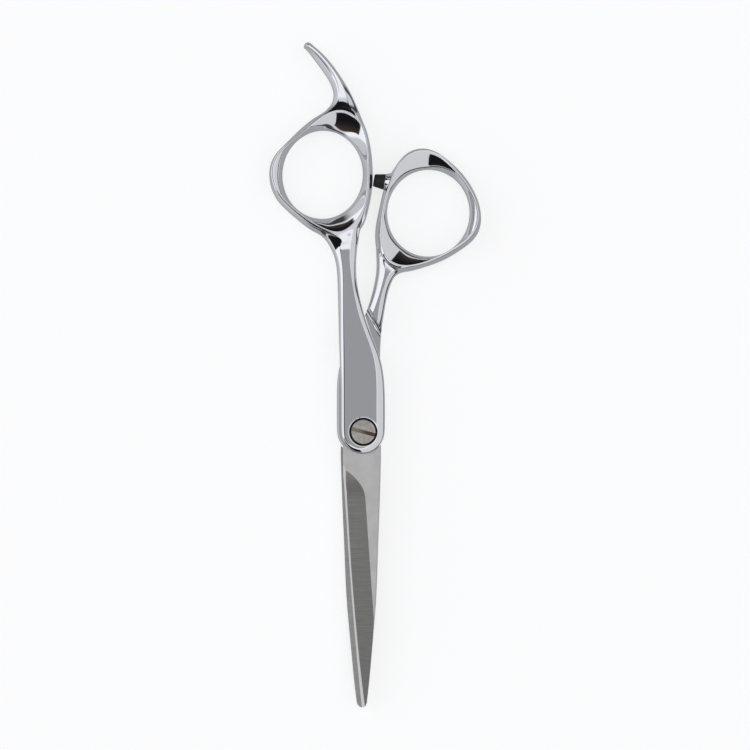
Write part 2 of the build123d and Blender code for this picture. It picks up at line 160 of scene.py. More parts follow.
# Looks by place, in metres: the screw's pocket, which gets painted shade, the slot's floor, and the
# fade along the slot, which get painted shade and reflection.
POCKET_RADIUS = (0.00345, 0.00349)
POCKET_TOP = (0.0061, 0.0062)
SLOT_TOP = (0.0061, 0.00622)
SLOT_SHADE_REACH = (-0.0018, 0.0012)
# Looks by how a face lies: how far a flat, an inner face and the screw's rim and top look up, how
# far a bevel leans over, and how far the run-out looks towards the tip.
FLAT_FACING = (0.975, 0.988)
BEVEL_FACING = (0.2, 0.24)
INNER_FACING = (0.9, 0.97)
RUN_OUT_FACING = (0.05, 0.4)
# The screw's rim, which gets a painted highlight, lies between these two.
RIM_FACING = (0.4, 0.6)
TOP_FACING = (0.85, 0.95)

# Finger ring: hole centre, half sizes and tilt, then crest and rim points round it.
FINGER_HOLE = ((-10.0, 62.9), 9.8, 10.75, -4.0)
FINGER_CREST = [
    (1.3, 62.9), (1.0, 69.0), (0.2, 73.2), (-1.9, 76.7), (-5.7, 78.35), (-9.6, 77.2), (-13.0, 74.7),
    (-16.8, 71.6), (-20.2, 68.4), (-22.0, 65.2), (-22.1, 61.8), (-20.4, 57.9), (-16.8, 54.2),
    (-13.0, 51.4), (-9.4, 49.45), (-6.2, 48.65), (-3.6, 49.65), (-1.5, 51.8), (0.1, 54.5),
    (0.95, 58.2),
]
FINGER_RIM = [
    (2.3, 62.9), (2.0, 68.0), (1.0, 73.0), (-0.1, 75.8), (-5.7, 79.2), (-10.0, 77.95), (-15.6, 73.9),
    (-19.6, 70.0), (-22.4, 66.4), (-23.05, 62.5), (-21.7, 57.6), (-18.4, 53.8), (-14.6, 50.6),
    (-10.9, 48.4), (-6.2, 47.8), (-0.95, 49.3), (1.0, 53.4), (2.0, 58.2),
]

# Thumb ring, in the same way.
THUMB_HOLE = ((15.9, 53.5), 10.05, 10.6, -4.0)
THUMB_CREST = [
    (27.95, 52.6), (27.4, 56.0), (25.8, 59.4), (23.1, 63.1), (20.0, 66.4), (17.3, 68.2), (14.6, 68.65),
    (11.9, 68.0), (9.95, 66.6), (8.5, 64.8), (7.3, 62.2), (6.1, 59.0), (5.2, 55.5), (4.65, 51.8),
    (4.45, 48.2), (4.8, 44.6), (6.1, 42.1), (8.3, 40.75), (11.4, 40.55), (15.1, 41.4), (18.8, 42.95),
    (22.4, 44.95), (25.6, 47.3), (27.3, 49.7),
]
THUMB_RIM = [
    (28.8, 53.1), (27.2, 58.6), (24.5, 62.8), (20.7, 66.5), (15.1, 69.3), (10.2, 67.8), (8.0, 65.2),
    (5.8, 61.6), (4.1, 55.7), (3.05, 50.5), (3.05, 45.2), (4.9, 41.0), (8.0, 39.2), (11.0, 39.2),
    (13.3, 39.75), (19.3, 41.85), (24.6, 45.0), (27.9, 48.3),
]

# Arms: stations from one side of the ring, round the far end and back to it. Each is a point
# of the outline and the point of the flat's edge that faces it. The segment is where the arm
# leaves its ring. A form's tables are (y in plan, value), a and b for the arm's two sides.
FINGER_SHANK_SEGMENT = 71
FINGER_SHANK_LEFT = [
    ((-9.6, 47.3), (-5.3, 47.3)), ((-8.6, 45.9), (-5.2, 46.0)), ((-7.75, 44.2), (-5.9, 44.7)),
    ((-7.3, 43.1), (-5.7, 43.9)), ((-6.8, 41.3), (-5.3, 41.3)), ((-6.5, 38.9), (-5.08, 38.9)),
    ((-6.35, 35.0), (-5.0, 35.0)), ((-6.25, 30.0), (-5.0, 30.0)), ((-6.1, 24.0), (-4.98, 24.0)),
    ((-5.9, 18.0), (-4.95, 18.0)), ((-5.7, 12.0), (-4.93, 12.0)), ((-5.65, 6.0), (-4.93, 6.0)),
    ((-5.64, 1.5), (-4.93, 1.5)),
]
FINGER_SHANK_RIGHT = [
    ((5.36, 1.5), (3.37, 1.5)), ((5.38, 6.0), (3.35, 6.0)), ((5.3, 12.0), (3.4, 12.0)),
    ((4.5, 17.5), (3.05, 17.5)), ((2.47, 22.4), (1.2, 22.8)), ((0.9, 26.5), (-0.35, 26.6)),
    ((-0.3, 30.4), (-1.45, 30.4)), ((-1.2, 34.2), (-2.25, 34.5)), ((-1.68, 37.6), (-2.75, 37.7)),
    ((-1.78, 40.6), (-3.15, 40.9)), ((-1.62, 43.6), (-3.28, 43.9)), ((-1.4, 45.6), (-3.0, 45.4)),
    ((-1.0, 47.6), (-2.6, 47.2)),
]
FINGER_SHANK_FORM = {
    "top": [(18, 3.0), (43.9, 2.48), (44.7, 2.52), (46, 2.82), (47.3, 3.1)],
    "drop_a": [
        (-4.3, 0.2), (-3, 0.19), (-2, 0.16), (-0.5, 0.3), (44, 0.35), (45.9, 0.65), (47.4, 0.75),
    ],
    "drop_b": [(-4.3, 0.26), (-2, 0.36), (0, 0.62), (20, 0.45), (40, 0.45), (47.4, 0.6)],
    "lean": [(12, 0.3), (40, 0.1)],
    "belly": [(12, 1.2), (40, 1.6)],
    "round_a": [(-4.3, 0.22), (-0.5, 0.3), (20, 0.42), (30, 0.75), (42, 0.8)],
    "round_b": [(-4.3, 0.25), (-1, 0.42), (12, 0.42), (30, 0.3), (44, 0.4)],
    "soft_a": [(18, 0.4), (28, 0.12)],
    "soft_b": [(0, 0.1), (47, 0.1)],
}
# An arm's round end: centre and radius of the outline, then of the flat's edge.
FINGER_HUB = ((-0.14, 0.15), 5.5, (-0.78, -0.15), 4.15)
HUB_TURNS = [189 + 18 * i for i in range(10)]

THUMB_SHANK_SEGMENT = 57
THUMB_SHANK_LEFT = [
    ((3.05, 43.3), (5.0, 42.2)), ((3.15, 41.2), (5.2, 40.7)), ((3.1, 39.2), (5.3, 38.9)),
    ((2.75, 36.9), (4.6, 36.4)), ((2.2, 34.4), (3.95, 33.9)), ((1.5, 31.9), (3.15, 31.5)),
    ((0.6, 29.2), (2.2, 28.6)), ((-0.95, 26.1), (0.1, 25.4)), ((-3.0, 23.1), (-2.1, 22.4)),
    ((-5.0, 19.3), (-4.1, 18.8)), ((-6.4, 14.8), (-5.5, 14.5)), ((-6.66, 11.0), (-5.8, 11.0)),
    ((-6.66, 6.0), (-5.8, 6.0)), ((-6.66, 1.5), (-5.8, 1.5)),
]
THUMB_SHANK_RIGHT = [
    ((4.1, 1.5), (3.2, 1.5)), ((4.1, 6.0), (3.2, 6.0)), ((4.1, 11.0), (3.2, 11.0)),
    ((4.12, 14.8), (3.2, 14.8)), ((4.2, 18.8), (3.2, 18.8)), ((4.35, 22.5), (3.3, 22.5)),
    ((4.65, 26.0), (3.5, 26.0)), ((5.1, 28.9), (3.75, 29.1)), ((5.5, 31.4), (4.15, 31.7)),
    ((6.0, 33.9), (4.8, 34.2)), ((6.6, 35.7), (5.45, 36.2)), ((7.15, 37.1), (5.95, 37.8)),
    ((7.9, 38.2), (6.8, 39.0)), ((9.2, 38.95), (8.3, 39.6)),
]
THUMB_HUB = ((-1.35, 0.0), 5.31, (-1.375, 0.0), 4.43)
THUMB_SHANK_FORM = {
    "top": [(18, 3.0), (30, 2.65), (38.4, 2.45), (43.5, 3.02)],
    "drop_a": [(0, 0.6), (30, 0.4), (44, 0.4)],
    "drop_b": [(0, 0.6), (30, 0.5), (44, 0.5)],
    "lean": [(14, 1.0), (24, 0.4), (32, 0.1)],
    "belly": [(14, 0.42), (24, 1.2), (32, 1.6)],
    "round_a": [(24, 0.42), (30, 0.7), (36, 0.9)],
    "round_b": [(24, 0.42), (44, 0.42)],
    "soft_a": [(0, 0.1), (44, 0.1)],
    "soft_b": [(0, 0.1), (44, 0.1)],
}

TANG_SEGMENT = 14
TANG_OUTER = [
    ((-1.0, 78.2), (-3.3, 79.2)), ((-2.2, 81.0), (-4.0, 81.6)), ((-3.6, 83.9), (-4.8, 84.0)),
    ((-5.2, 86.4), (-5.95, 86.4)), ((-6.9, 88.95), (-7.5, 88.7)), ((-8.8, 91.35), (-9.3, 91.0)),
    ((-10.7, 93.25), (-11.1, 92.95)), ((-12.4, 94.6), (-12.7, 94.2)),
]
TANG_INNER = [
    ((-14.25, 93.9), (-13.6, 94.0)), ((-12.55, 91.7), (-11.75, 92.4)), ((-10.9, 89.5), (-10.0, 90.5)),
    ((-9.2, 87.2), (-8.3, 88.3)), ((-7.75, 84.7), (-6.9, 85.9)), ((-7.15, 82.3), (-6.2, 83.6)),
    ((-7.75, 80.1), (-6.05, 81.6)), ((-9.0, 78.65), (-6.4, 80.0)),
]
TANG_TIP = ((-13.55, 94.25), 1.2, (-13.45, 94.2), 0.42)
TANG_TURNS = [66, 112, 158, 204]
TANG_FORM = {
    "top": [(79.3, 2.95), (80.6, 2.65), (81.8, 2.45), (95, 1.95)],
    "drop_a": [(79, 0.55), (95, 0.6)],
    "drop_b": [(79, 0.8), (95, 0.95)],
    "lean": [(79, 0.0), (95, 0.0)],
    "belly": [(79, 1.6), (95, 1.2)],
    "round_a": [(79, 0.35), (95, 0.35)],
    "round_b": [(79, 0.4), (95, 0.35)],
    "soft_a": [(79, 0.1), (95, 0.1)],
    "soft_b": [(81, 0.1), (86, 0.4), (95, 0.25)],
}

# Where the two halves are cut to pass each other: a line in plan, the cut's near wall as
# (distance from the line, height), how far the cutter reaches and how deep it goes.
MIRROR_X = -0.785
NOSE = ((1.3, 31.1), (4.2, 25.7))
NOSE_PROFILE = [(0.0, 7.2), (0.25, 4.6), (0.42, 4.05), (0.7, 3.62), (1.05, 3.4), (1.5, 3.35)]
NOSE_REACH = (-14.0, 70.0)
NOSE_DEPTH = 60.0
# The pocket for a blade's stub: heel side, spine side, top, depth and corner radius, then its
# foot, the steps round a corner, and how far the cutter goes past the face.
BLADE_CENTRE_X = -0.65
BLADE_LEAN = 0.214
STUB = (-4.36, 4.41, 13.01, 1.21, 2.5)
STUB_FOOT = -8.0
CORNER_STEPS = 6
PAST = 0.5
# What the hubs are bored for, as (radius, height).
COUNTERBORE = [(2.05, 3.0), (2.05, 5.1), (3.45, 5.1), (3.47, 6.26), (3.7, 6.4), (3.7, 7.0)]
NUT_POCKET = [(3.2, -1.0), (3.2, 1.5), (1.7, 1.5), (1.7, 5.0)]
# The bumper's boss and stud hole: (radius, distance) round an axis that points out of the ring.
BOSS_CENTRE = (5.25, 61.15)
BOSS_ANGLE = 171.0
BOSS_PROFILE = [(2.5, -1.4), (2.25, -0.7), (2.08, -0.3), (2.05, -0.08), (1.97, 0.0)]
STUD_HOLE = [(0.72, -2.3), (0.72, 1.0)]


def turned(point, centre, degrees):
    """A plan point turned about a centre."""
    angle = math.radians(degrees)
    x, y = point[0] - centre[0], point[1] - centre[1]
    return (
        centre[0] + x * math.cos(angle) - y * math.sin(angle),
        centre[1] + x * math.sin(angle) + y * math.cos(angle),
    )


def oval_radius(hole, angle):
    """How far a tilted oval's edge is from its centre in a given direction."""
    _, half_width, half_length, tilt = hole
    along = math.cos(angle - math.radians(tilt)) / half_width
    across = math.sin(angle - math.radians(tilt)) / half_length
    return 1.0 / math.hypot(along, across)


def smooth_radius(centre, points, angles):
    """Radii of a closed smooth curve through plan points, at the given angles about a centre."""
    knots = sorted(
        (math.atan2(y - centre[1], x - centre[0]) % math.tau, math.hypot(x - centre[0], y - centre[1]))
        for x, y in points
    )
    turn = np.array([k[0] for k in knots])
    radius = np.array([k[1] for k in knots])
    count = len(knots)
    step = np.diff(np.append(turn, turn[0] + math.tau))
    system = np.zeros((count, count))
    right = np.zeros(count)
    for i in range(count):
        before, after = step[i - 1], step[i]
        system[i, (i - 1) % count] += before
        system[i, i] += 2 * (before + after)
        system[i, (i + 1) % count] += after
        rise = (radius[(i + 1) % count] - radius[i]) / after
        right[i] = 6 * (rise - (radius[i] - radius[i - 1]) / before)
    bend = np.linalg.solve(system, right)
    result = []
    for angle in angles:
        i = int(np.searchsorted(turn, angle, side="right")) - 1
        width = step[i]
        a = (angle - turn[i]) % math.tau
        b = width - a
        j = (i + 1) % count
        value = (bend[i] * b**3 + bend[j] * a**3) / (6 * width)
        value += (radius[i] / width - bend[i] * width / 6) * b
        value += (radius[j] / width - bend[j] * width / 6) * a
        result.append(value)
    return result


def ring_profile(hole_r, crest_r, rim_r, joined, wall, rim_drop):
    """Radius and height of each row across a ring's upper half, from hole wall to rim wall.

    joined is 0 where the ring has its own rim and 1 where an arm grows out of it. wall is how
    much of the width the steep hole wall takes, before the scooped part begins.
    """
    wall = min(wall, WALL_LIMIT * (crest_r - hole_r))
    scoop = max(0.0, crest_r - CREST_SHOULDER - hole_r - wall)
    lip = CREST - CREST_DROP - SCOOP_SLOPE * scoop - SCOOP_FOOT
    rows = [(hole_r, 0.0)]
    for out, up in WALL_CURVE:
        rows.append((hole_r + wall * out, lip * up))
    for share in SCOOP_SHARES:
        rise = (CREST - CREST_DROP - lip) * (1 - (1 - share)**SCOOP_CURVE)
        rows.append((hole_r + wall + share * scoop, lip + rise))
    rows += [(crest_r - CREST_SHOULDER, CREST - CREST_DROP), (crest_r - CREST_FLAT, CREST)]
    rows += [(crest_r + CREST_FLAT, CREST), (crest_r + CREST_SHOULDER, CREST - CREST_DROP)]
    edge_r = rim_r - RIM_ROUND
    middle = (crest_r + CREST_SHOULDER + edge_r) / 2
    middle_h = CREST - CREST_DROP - (rim_drop - CREST_DROP) * OUTER_SLOPE
    rows.append((
        middle + (crest_r + FILLET_REACH - middle) * joined,
        middle_h + (CREST - FILLET_DROP - middle_h) * joined,
    ))
    edge_h = CREST - rim_drop
    rows += [(edge_r, edge_h), (rim_r - RIM_INSET, edge_h - RIM_ROUND)]
    return rows + [(rim_r, edge_h * RIM_WAIST), (rim_r, 0.0)]


def along(table, y):
    """A value read from (y, value) pairs, in straight lines between them."""
    return float(np.interp(y, [pair[0] for pair in table], [pair[1] for pair in table]))


def arm_stations(side_a, end, side_b, end_angles, form):
    """Stations of an arm: one side, the round end by its two centres and radii, the other side.

    form gives, by y in plan, the flat's height, how far the wall leans in at the
    parting plane, the height where it is widest, and for each side the drop from flat to
    outline, the rounding of the outline and the softness of the flat's edge.
    """
    rounded = []
    centre, radius, flat_centre, flat_radius = end
    for angle in end_angles:
        way = (math.cos(math.radians(angle)), math.sin(math.radians(angle)))
        outline = (centre[0] + radius * way[0], centre[1] + radius * way[1])
        flat = (flat_centre[0] + flat_radius * way[0], flat_centre[1] + flat_radius * way[1])
        rounded.append((outline, flat))
    count = len(rounded)
    shares = [0.0] * len(side_a) + [(i + 0.5) / count for i in range(count)] + [1.0] * len(side_b)
    stations = []
    for (outline, flat), share in zip([*side_a, *rounded, *side_b], shares):
        y = flat[1]
        local = {name: along(form[name], y) for name in ("top", "lean", "belly")}
        for name in ("drop", "round", "soft"):
            on_a, on_b = along(form[name + "_a"], y), along(form[name + "_b"], y)
            local[name] = on_a * (1 - share) + on_b * share
        stations.append((outline, flat, local))
    return stations


def arm_section(station):
    """The points of one side of an arm, from the parting plane up and in to its flat."""
    outline, flat, form = station
    outline = Vector(outline)
    flat = Vector(flat)
    inward = (flat - outline).normalized()
    top = form["top"]
    edge = top - form["drop"]
    bend = min(form["round"], BEND_LIMIT * (flat - outline).length)
    shoulder = outline + inward * bend
    rows = [(outline + inward * form["lean"], 0.0)]
    inset, drop = BEND_FOOT
    rows.append((outline + inward * bend * inset, min(form["belly"], edge - drop * bend)))
    inset, drop = BEND_HALFWAY
    rows += [(outline + inward * bend * inset, edge - drop * bend), (shoulder, edge)]
    outer = flat - inward * FLAT_INSET
    outer_h = top - FLAT_SINK - SOFT_SINK * form["soft"]
    rows += [((shoulder + outer) / 2, (edge + outer_h) / 2), (outer, outer_h)]
    rows.append((flat + inward * form["soft"], top))
    return rows


def thinning(taper, x, centre_x):
    """How far a point is towards the ring's outer side, where it grows thinner."""
    outward = centre_x - x if taper > 0 else x - centre_x
    return max(0.0, outward + TAPER_START)


def mesh_ring(bm, hole, crest, rim, form, arms):
    """A ring's vertices and faces. Returns its upper and lower vertices by row and segment.

    form gives the hole wall's width, the rim's drop and the ring's taper across the hand.
    """
    centre = hole[0]
    angles = [math.tau * k / SEGMENTS for k in range(SEGMENTS)]
    crest_r = smooth_radius(centre, crest, angles)
    rim_r = smooth_radius(centre, rim, angles)
    inside_arm = set()
    joined = [0.0] * SEGMENTS
    for first in arms:
        for column in range(ARM_COLUMNS):
            inside_arm.add(first + column)
        for column in range(1, ARM_COLUMNS):
            from_end = min(column, ARM_COLUMNS - column)
            joined[first + column] = min(1.0, from_end / BEVEL_COLUMNS)
    upper, lower = {}, {}
    for k, angle in enumerate(angles):
        wall_width = form["wall"][0] + form["wall"][1] * math.sqrt(max(0.0, math.cos(angle)))
        rim_drop = form["rim"][0] + form["rim"][1] * max(0.0, -math.cos(angle))
        profile = ring_profile(
            oval_radius(hole, angle), crest_r[k], rim_r[k], joined[k], wall_width, rim_drop
        )
        inner_column = k in inside_arm and k - 1 in inside_arm
        for row, (radius, height) in enumerate(profile):
            if row > SHANK_ROW and inner_column:
                continue
            x = centre[0] + radius * math.cos(angle)
            y = centre[1] + radius * math.sin(angle)
            height *= 1 - abs(form["taper"]) * thinning(form["taper"], x, centre[0]) / CREST
            upper[row, k] = bm.verts.new((x, y, MID + height))
            on_parting = row in (0, LAST_ROW)
            lower[row, k] = upper[row, k] if on_parting else bm.verts.new((x, y, MID - height))
    for k in range(SEGMENTS):
        after = (k + 1) % SEGMENTS
        for row in range(LAST_ROW):
            if row >= SHANK_ROW and k in inside_arm:
                continue
            for side in (upper, lower):
                corners = side[row, k], side[row, after], side[row + 1, after], side[row + 1, k]
                bm.faces.new(corners)
    return upper, lower


def mesh_arm(bm, ring, first, stations):
    """Grows an arm out of a ring: walls, bevels and flat, above and below the parting plane."""
    sections = [arm_section(station) for station in stations]
    count = len(stations) + 2
    half = count // 2
    shared = {}
    for sign, ring_side in ((1, ring[0]), (-1, ring[1])):
        grid = {}
        for end, k, step in ((0, first, 1), (count - 1, first + ARM_COLUMNS, -1)):
            for row in range(WALL_ROWS):
                grid[row, end] = ring_side[LAST_ROW - row, k]
            for row in range(WALL_ROWS, FLAT_ROW + 1):
                grid[row, end] = ring_side[SHANK_ROW, k + step * (row - WALL_ROWS)]
        for i, section in enumerate(sections, start=1):
            for row, (point, height) in enumerate(section):
                if row == 0 and sign < 0:
                    grid[row, i] = shared[i]
                    continue
                grid[row, i] = bm.verts.new((point[0], point[1], MID + sign * height))
                if row == 0:
                    shared[i] = grid[row, i]
        for i in range(count - 1):
            for row in range(FLAT_ROW):
                corners = grid[row, i], grid[row, i + 1], grid[row + 1, i + 1], grid[row + 1, i]
                bm.faces.new(corners)
        columns = range(BEVEL_COLUMNS, ARM_COLUMNS + 1 - BEVEL_COLUMNS)
        rungs = [[ring_side[SHANK_ROW, first + column] for column in columns]]
        inner = len(columns) - 2
        for i in range(1, half - 1):
            start, end = grid[FLAT_ROW, i], grid[FLAT_ROW, count - 1 - i]
            rung = [start]
            for q in range(1, inner + 1):
                share = q / (inner + 1)
                rung.append(bm.verts.new(start.co.lerp(end.co, share)))
            rungs.append(rung + [end])
        for one, two in zip(rungs, rungs[1:]):
            for q in range(inner + 1):
                bm.faces.new((one[q], one[q + 1], two[q + 1], two[q]))
        bm.faces.new([grid[FLAT_ROW, half - 1], *rungs[-1], grid[FLAT_ROW, half]])


def new_object(name, bm):
    """A bmesh in millimetres made into an object in metres."""
    bmesh.ops.recalc_face_normals(bm, faces=bm.faces)
    bmesh.ops.scale(bm, vec=(MM, MM, MM), verts=bm.verts)
    mesh = bpy.data.meshes.new(name)
    bm.to_mesh(mesh)
    bm.free()
    piece = bpy.data.objects.new(name, mesh)
    bpy.context.scene.collection.objects.link(piece)
    return piece


def prism(name, outline, low, high):
    """An upright prism from a plan outline, as a cutter."""
    bm = bmesh.new()
    base = [bm.verts.new((x, y, low)) for x, y in outline]
    top = [bm.verts.new((x, y, high)) for x, y in outline]
    bm.faces.new(base)
    bm.faces.new(top)
    for i in range(len(base)):
        j = (i + 1) % len(base)
        bm.faces.new((base[i], base[j], top[j], top[i]))
    return new_object(name, bm)


def lathe(name, profile, segments=LATHE_SEGMENTS):
    """A body of revolution about the pivot axis from (radius, height) points, closed at its ends."""
    bm = bmesh.new()
    loops = []
    for radius, height in profile:
        loop = []
        for k in range(segments):
            angle = math.tau * k / segments
            loop.append(bm.verts.new((radius * math.cos(angle), radius * math.sin(angle), height)))
        loops.append(loop)
    for one, two in zip(loops, loops[1:]):
        for k in range(segments):
            after = (k + 1) % segments
            bm.faces.new((one[k], one[after], two[after], two[k]))
    bm.faces.new(loops[0])
    bm.faces.new(loops[-1])
    return new_object(name, bm)


def nose_cutter(name):
    """What the thumb half loses above its riding face: a long block with a scooped near wall."""
    (x1, y1), (x2, y2) = NOSE
    way = Vector((x2 - x1, y2 - y1)).normalized()
    away = Vector((way.y, -way.x))
    low, high = NOSE_PROFILE[-1][1], NOSE_PROFILE[0][1]
    profile = NOSE_PROFILE + [(NOSE_DEPTH, low), (NOSE_DEPTH, high)]
    bm = bmesh.new()
    ends = []
    for reach in NOSE_REACH:
        ends.append([
            bm.verts.new((x1 + way.x * reach + away.x * d, y1 + way.y * reach + away.y * d, z))
            for d, z in profile
        ])
    bm.faces.new(ends[0])
    bm.faces.new(ends[1])
    for i in range(len(profile)):
        j = (i + 1) % len(profile)
        bm.faces.new((ends[0][i], ends[0][j], ends[1][j], ends[1][i]))
    return new_object(name, bm)


def turned_over(piece):
    """Turns a thumb-half cutter into the finger half's: upside down and left to right."""
    for vertex in piece.data.vertices:
        vertex.co.z = 2 * MID * MM - vertex.co.z
        vertex.co.x = 2 * MIRROR_X * MM - vertex.co.x
    return piece


def stub_cutter(name, thumb):
    """The pocket that the blade's stub lies in, on the side of the riding face."""
    heel, spine, length, depth, corner = STUB
    outline = [(heel, STUB_FOOT), (spine, STUB_FOOT)]
    for centre_x, start in ((spine - corner, 0), (heel + corner, 90)):
        for step in range(CORNER_STEPS + 1):
            angle = math.radians(start + 90 * step / CORNER_STEPS)
            x = centre_x + corner * math.cos(angle)
            outline.append((x, length - corner + corner * math.sin(angle)))
    if thumb:
        outline = [(-x, y) for x, y in outline]
    placed = []
    for x, y in outline:
        x, y = turned((x, y), (0, 0), BLADE_LEAN)
        placed.append((x + BLADE_CENTRE_X, y))
    if thumb:
        return prism(name, placed, MID - RIDING_FACE - depth, MID + PAST)
    return prism(name, placed, MID - PAST, MID + RIDING_FACE + depth)


def on_boss(piece):
    """Turns a shape made round the upright axis so that it lies on the bumper's axis."""
    place = Matrix.Translation((BOSS_CENTRE[0] * MM, BOSS_CENTRE[1] * MM, MID * MM))
    place @= Matrix.Rotation(math.radians(BOSS_ANGLE), 4, "Z")
    place @= Matrix.Rotation(math.radians(90), 4, "Y")
    piece.data.transform(place)
    return piece


def baked(piece):
    """The piece with its modifiers made part of its mesh."""
    graph = bpy.context.evaluated_depsgraph_get()
    mesh = bpy.data.meshes.new_from_object(piece.evaluated_get(graph))
    piece.modifiers.clear()
    piece.data = mesh
    return piece


def carve(piece, cutters, operation="DIFFERENCE"):
    """Cuts or joins helper shapes, one after another, and deletes them."""
    for cutter in cutters:
        boolean = piece.modifiers.new("carve", "BOOLEAN")
        boolean.operation = operation
        boolean.solver = "EXACT"
        boolean.object = cutter
    baked(piece)
    for cutter in cutters:
        bpy.data.objects.remove(cutter)
    return piece


def smooth_by_angle(piece):
    """Smooth shading with sharp edges where faces meet at more than the crease angle."""
    mesh = piece.data
    for polygon in mesh.polygons:
        polygon.use_smooth = True
    mesh.set_sharp_from_angle(angle=math.radians(CREASE))


def subdivided(piece):
    """The piece with a subdivision surface baked in."""
    surface = piece.modifiers.new("surface", "SUBSURF")
    surface.levels = SUBDIVISION
    surface.render_levels = SUBDIVISION
    return baked(piece)


def make_finger_handle():
    """Finger ring, finger rest, shank and hub as one skin, cut and bored."""
    bm = bmesh.new()
    arms = (FINGER_SHANK_SEGMENT, TANG_SEGMENT)
    ring = mesh_ring(bm, FINGER_HOLE, FINGER_CREST, FINGER_RIM, FINGER_RING_FORM, arms)
    shank = arm_stations(
        FINGER_SHANK_LEFT, FINGER_HUB, FINGER_SHANK_RIGHT, HUB_TURNS, FINGER_SHANK_FORM
    )
    mesh_arm(bm, ring, FINGER_SHANK_SEGMENT, shank)
    tang = arm_stations(TANG_OUTER, TANG_TIP, TANG_INNER, TANG_TURNS, TANG_FORM)
    mesh_arm(bm, ring, TANG_SEGMENT, tang)
    piece = subdivided(new_object("finger_handle_skin", bm))
    cutters = [turned_over(nose_cutter("nose")), stub_cutter("stub", False)]
    carve(piece, [*cutters, lathe("bore", COUNTERBORE)])
    smooth_by_angle(piece)
    return piece


def make_thumb_handle():
    """Thumb ring, shank and hub as one skin, cut and bored, with the bumper's boss."""
    bm = bmesh.new()
    ring = mesh_ring(bm, THUMB_HOLE, THUMB_CREST, THUMB_RIM, THUMB_RING_FORM, (THUMB_SHANK_SEGMENT,))
    shank = arm_stations(THUMB_SHANK_LEFT, THUMB_HUB, THUMB_SHANK_RIGHT, HUB_TURNS, THUMB_SHANK_FORM)
    mesh_arm(bm, ring, THUMB_SHANK_SEGMENT, shank)
    piece = subdivided(new_object("thumb_handle_skin", bm))
    carve(piece, [on_boss(lathe("boss", BOSS_PROFILE))], "UNION")
    cutters = [nose_cutter("nose"), stub_cutter("stub", True), lathe("bore", NUT_POCKET)]
    carve(piece, [*cutters, on_boss(lathe("stud_hole", STUD_HOLE, STUD_SEGMENTS))])
    smooth_by_angle(piece)
    return piece


def node_tree(name):
    """A new material with its node tree and shader."""
    material = bpy.data.materials.new(name)
    material.use_nodes = True
    tree = material.node_tree
    return material, tree, tree.nodes["Principled BSDF"]


def smooth_mask(tree, value, low, high):
    """1 where a value is above high, 0 below low, with a soft edge between."""
    node = tree.nodes.new("ShaderNodeMapRange")
    node.interpolation_type = "SMOOTHSTEP"
    node.inputs["From Min"].default_value = low
    node.inputs["From Max"].default_value = high
    tree.links.new(value, node.inputs["Value"])
    return node.outputs["Result"]


def mask_below(tree, value, low, high):
    """1 where a value is below low, 0 above high, with a soft edge between."""
    return smooth_mask(tree, math_node(tree, "SUBTRACT", 0.0, value), -high, -low)


def math_node(tree, operation, one, two=0.0):
    """The result of a maths operation on one or two sockets or numbers."""
    node = tree.nodes.new("ShaderNodeMath")
    node.operation = operation
    for slot, value in enumerate((one, two)):
        if isinstance(value, (int, float)):
            node.inputs[slot].default_value = value
        else:
            tree.links.new(value, node.inputs[slot])
    return node.outputs["Value"]


def apart(tree, value, number):
    """How far a value is from a number."""
    return math_node(tree, "ABSOLUTE", math_node(tree, "SUBTRACT", value, number))


def axes(tree, kind):
    """The x, y and z sockets of a texture coordinate."""
    where = tree.nodes.new("ShaderNodeTexCoord")
    split = tree.nodes.new("ShaderNodeSeparateXYZ")
    tree.links.new(where.outputs[kind], split.inputs["Vector"])
    return split.outputs


def noise(tree, scale, detail):
    """Noise in the part's own coordinates, stretched by a scale per axis, per metre."""
    where = tree.nodes.new("ShaderNodeTexCoord")
    stretch = tree.nodes.new("ShaderNodeMapping")
    stretch.inputs["Scale"].default_value = scale
    grain = tree.nodes.new("ShaderNodeTexNoise")
    grain.inputs["Scale"].default_value = 1.0
    grain.inputs["Detail"].default_value = detail
    tree.links.new(where.outputs["Object"], stretch.inputs["Vector"])
    tree.links.new(stretch.outputs["Vector"], grain.inputs["Vector"])
    return grain.outputs["Fac"]


def span(tree, value, old, new):
    """A value carried from one range to another."""
    node = tree.nodes.new("ShaderNodeMapRange")
    tree.links.new(value, node.inputs["Value"])
    for name, number in zip(("From Min", "From Max", "To Min", "To Max"), (*old, *new)):
        node.inputs[name].default_value = number
    return node.outputs["Result"]


def shades(tree, value, limits, pair):
    """A colour between a pair's two shades as a value goes from one limit to the other."""
    return blend(tree, span(tree, value, limits, (0, 1)), *pair)


def blend(tree, factor, one, two):
    """A mix of two colours, each a socket or a tuple."""
    mix = tree.nodes.new("ShaderNodeMix")
    mix.data_type = "RGBA"
    tree.links.new(factor, mix.inputs["Factor"])
    for name, colour in (("A", one), ("B", two)):
        if isinstance(colour, tuple):
            mix.inputs[name].default_value = (*colour, 1)
        else:
            tree.links.new(colour, mix.inputs[name])
    return mix.outputs["Result"]


def bump(tree, shader, height, strength, depth):
    """Relief on a shader from a height value, depth in metres."""
    node = tree.nodes.new("ShaderNodeBump")
    node.inputs["Strength"].default_value = strength
    node.inputs["Distance"].default_value = depth
    tree.links.new(height, node.inputs["Height"])
    tree.links.new(node.outputs["Normal"], shader.inputs["Normal"])


def from_pivot(tree, place):
    """Distance from the pivot axis, in metres."""
    squared = [math_node(tree, "POWER", place[name], 2.0) for name in "XY"]
    return math_node(tree, "SQRT", math_node(tree, "ADD", *squared))


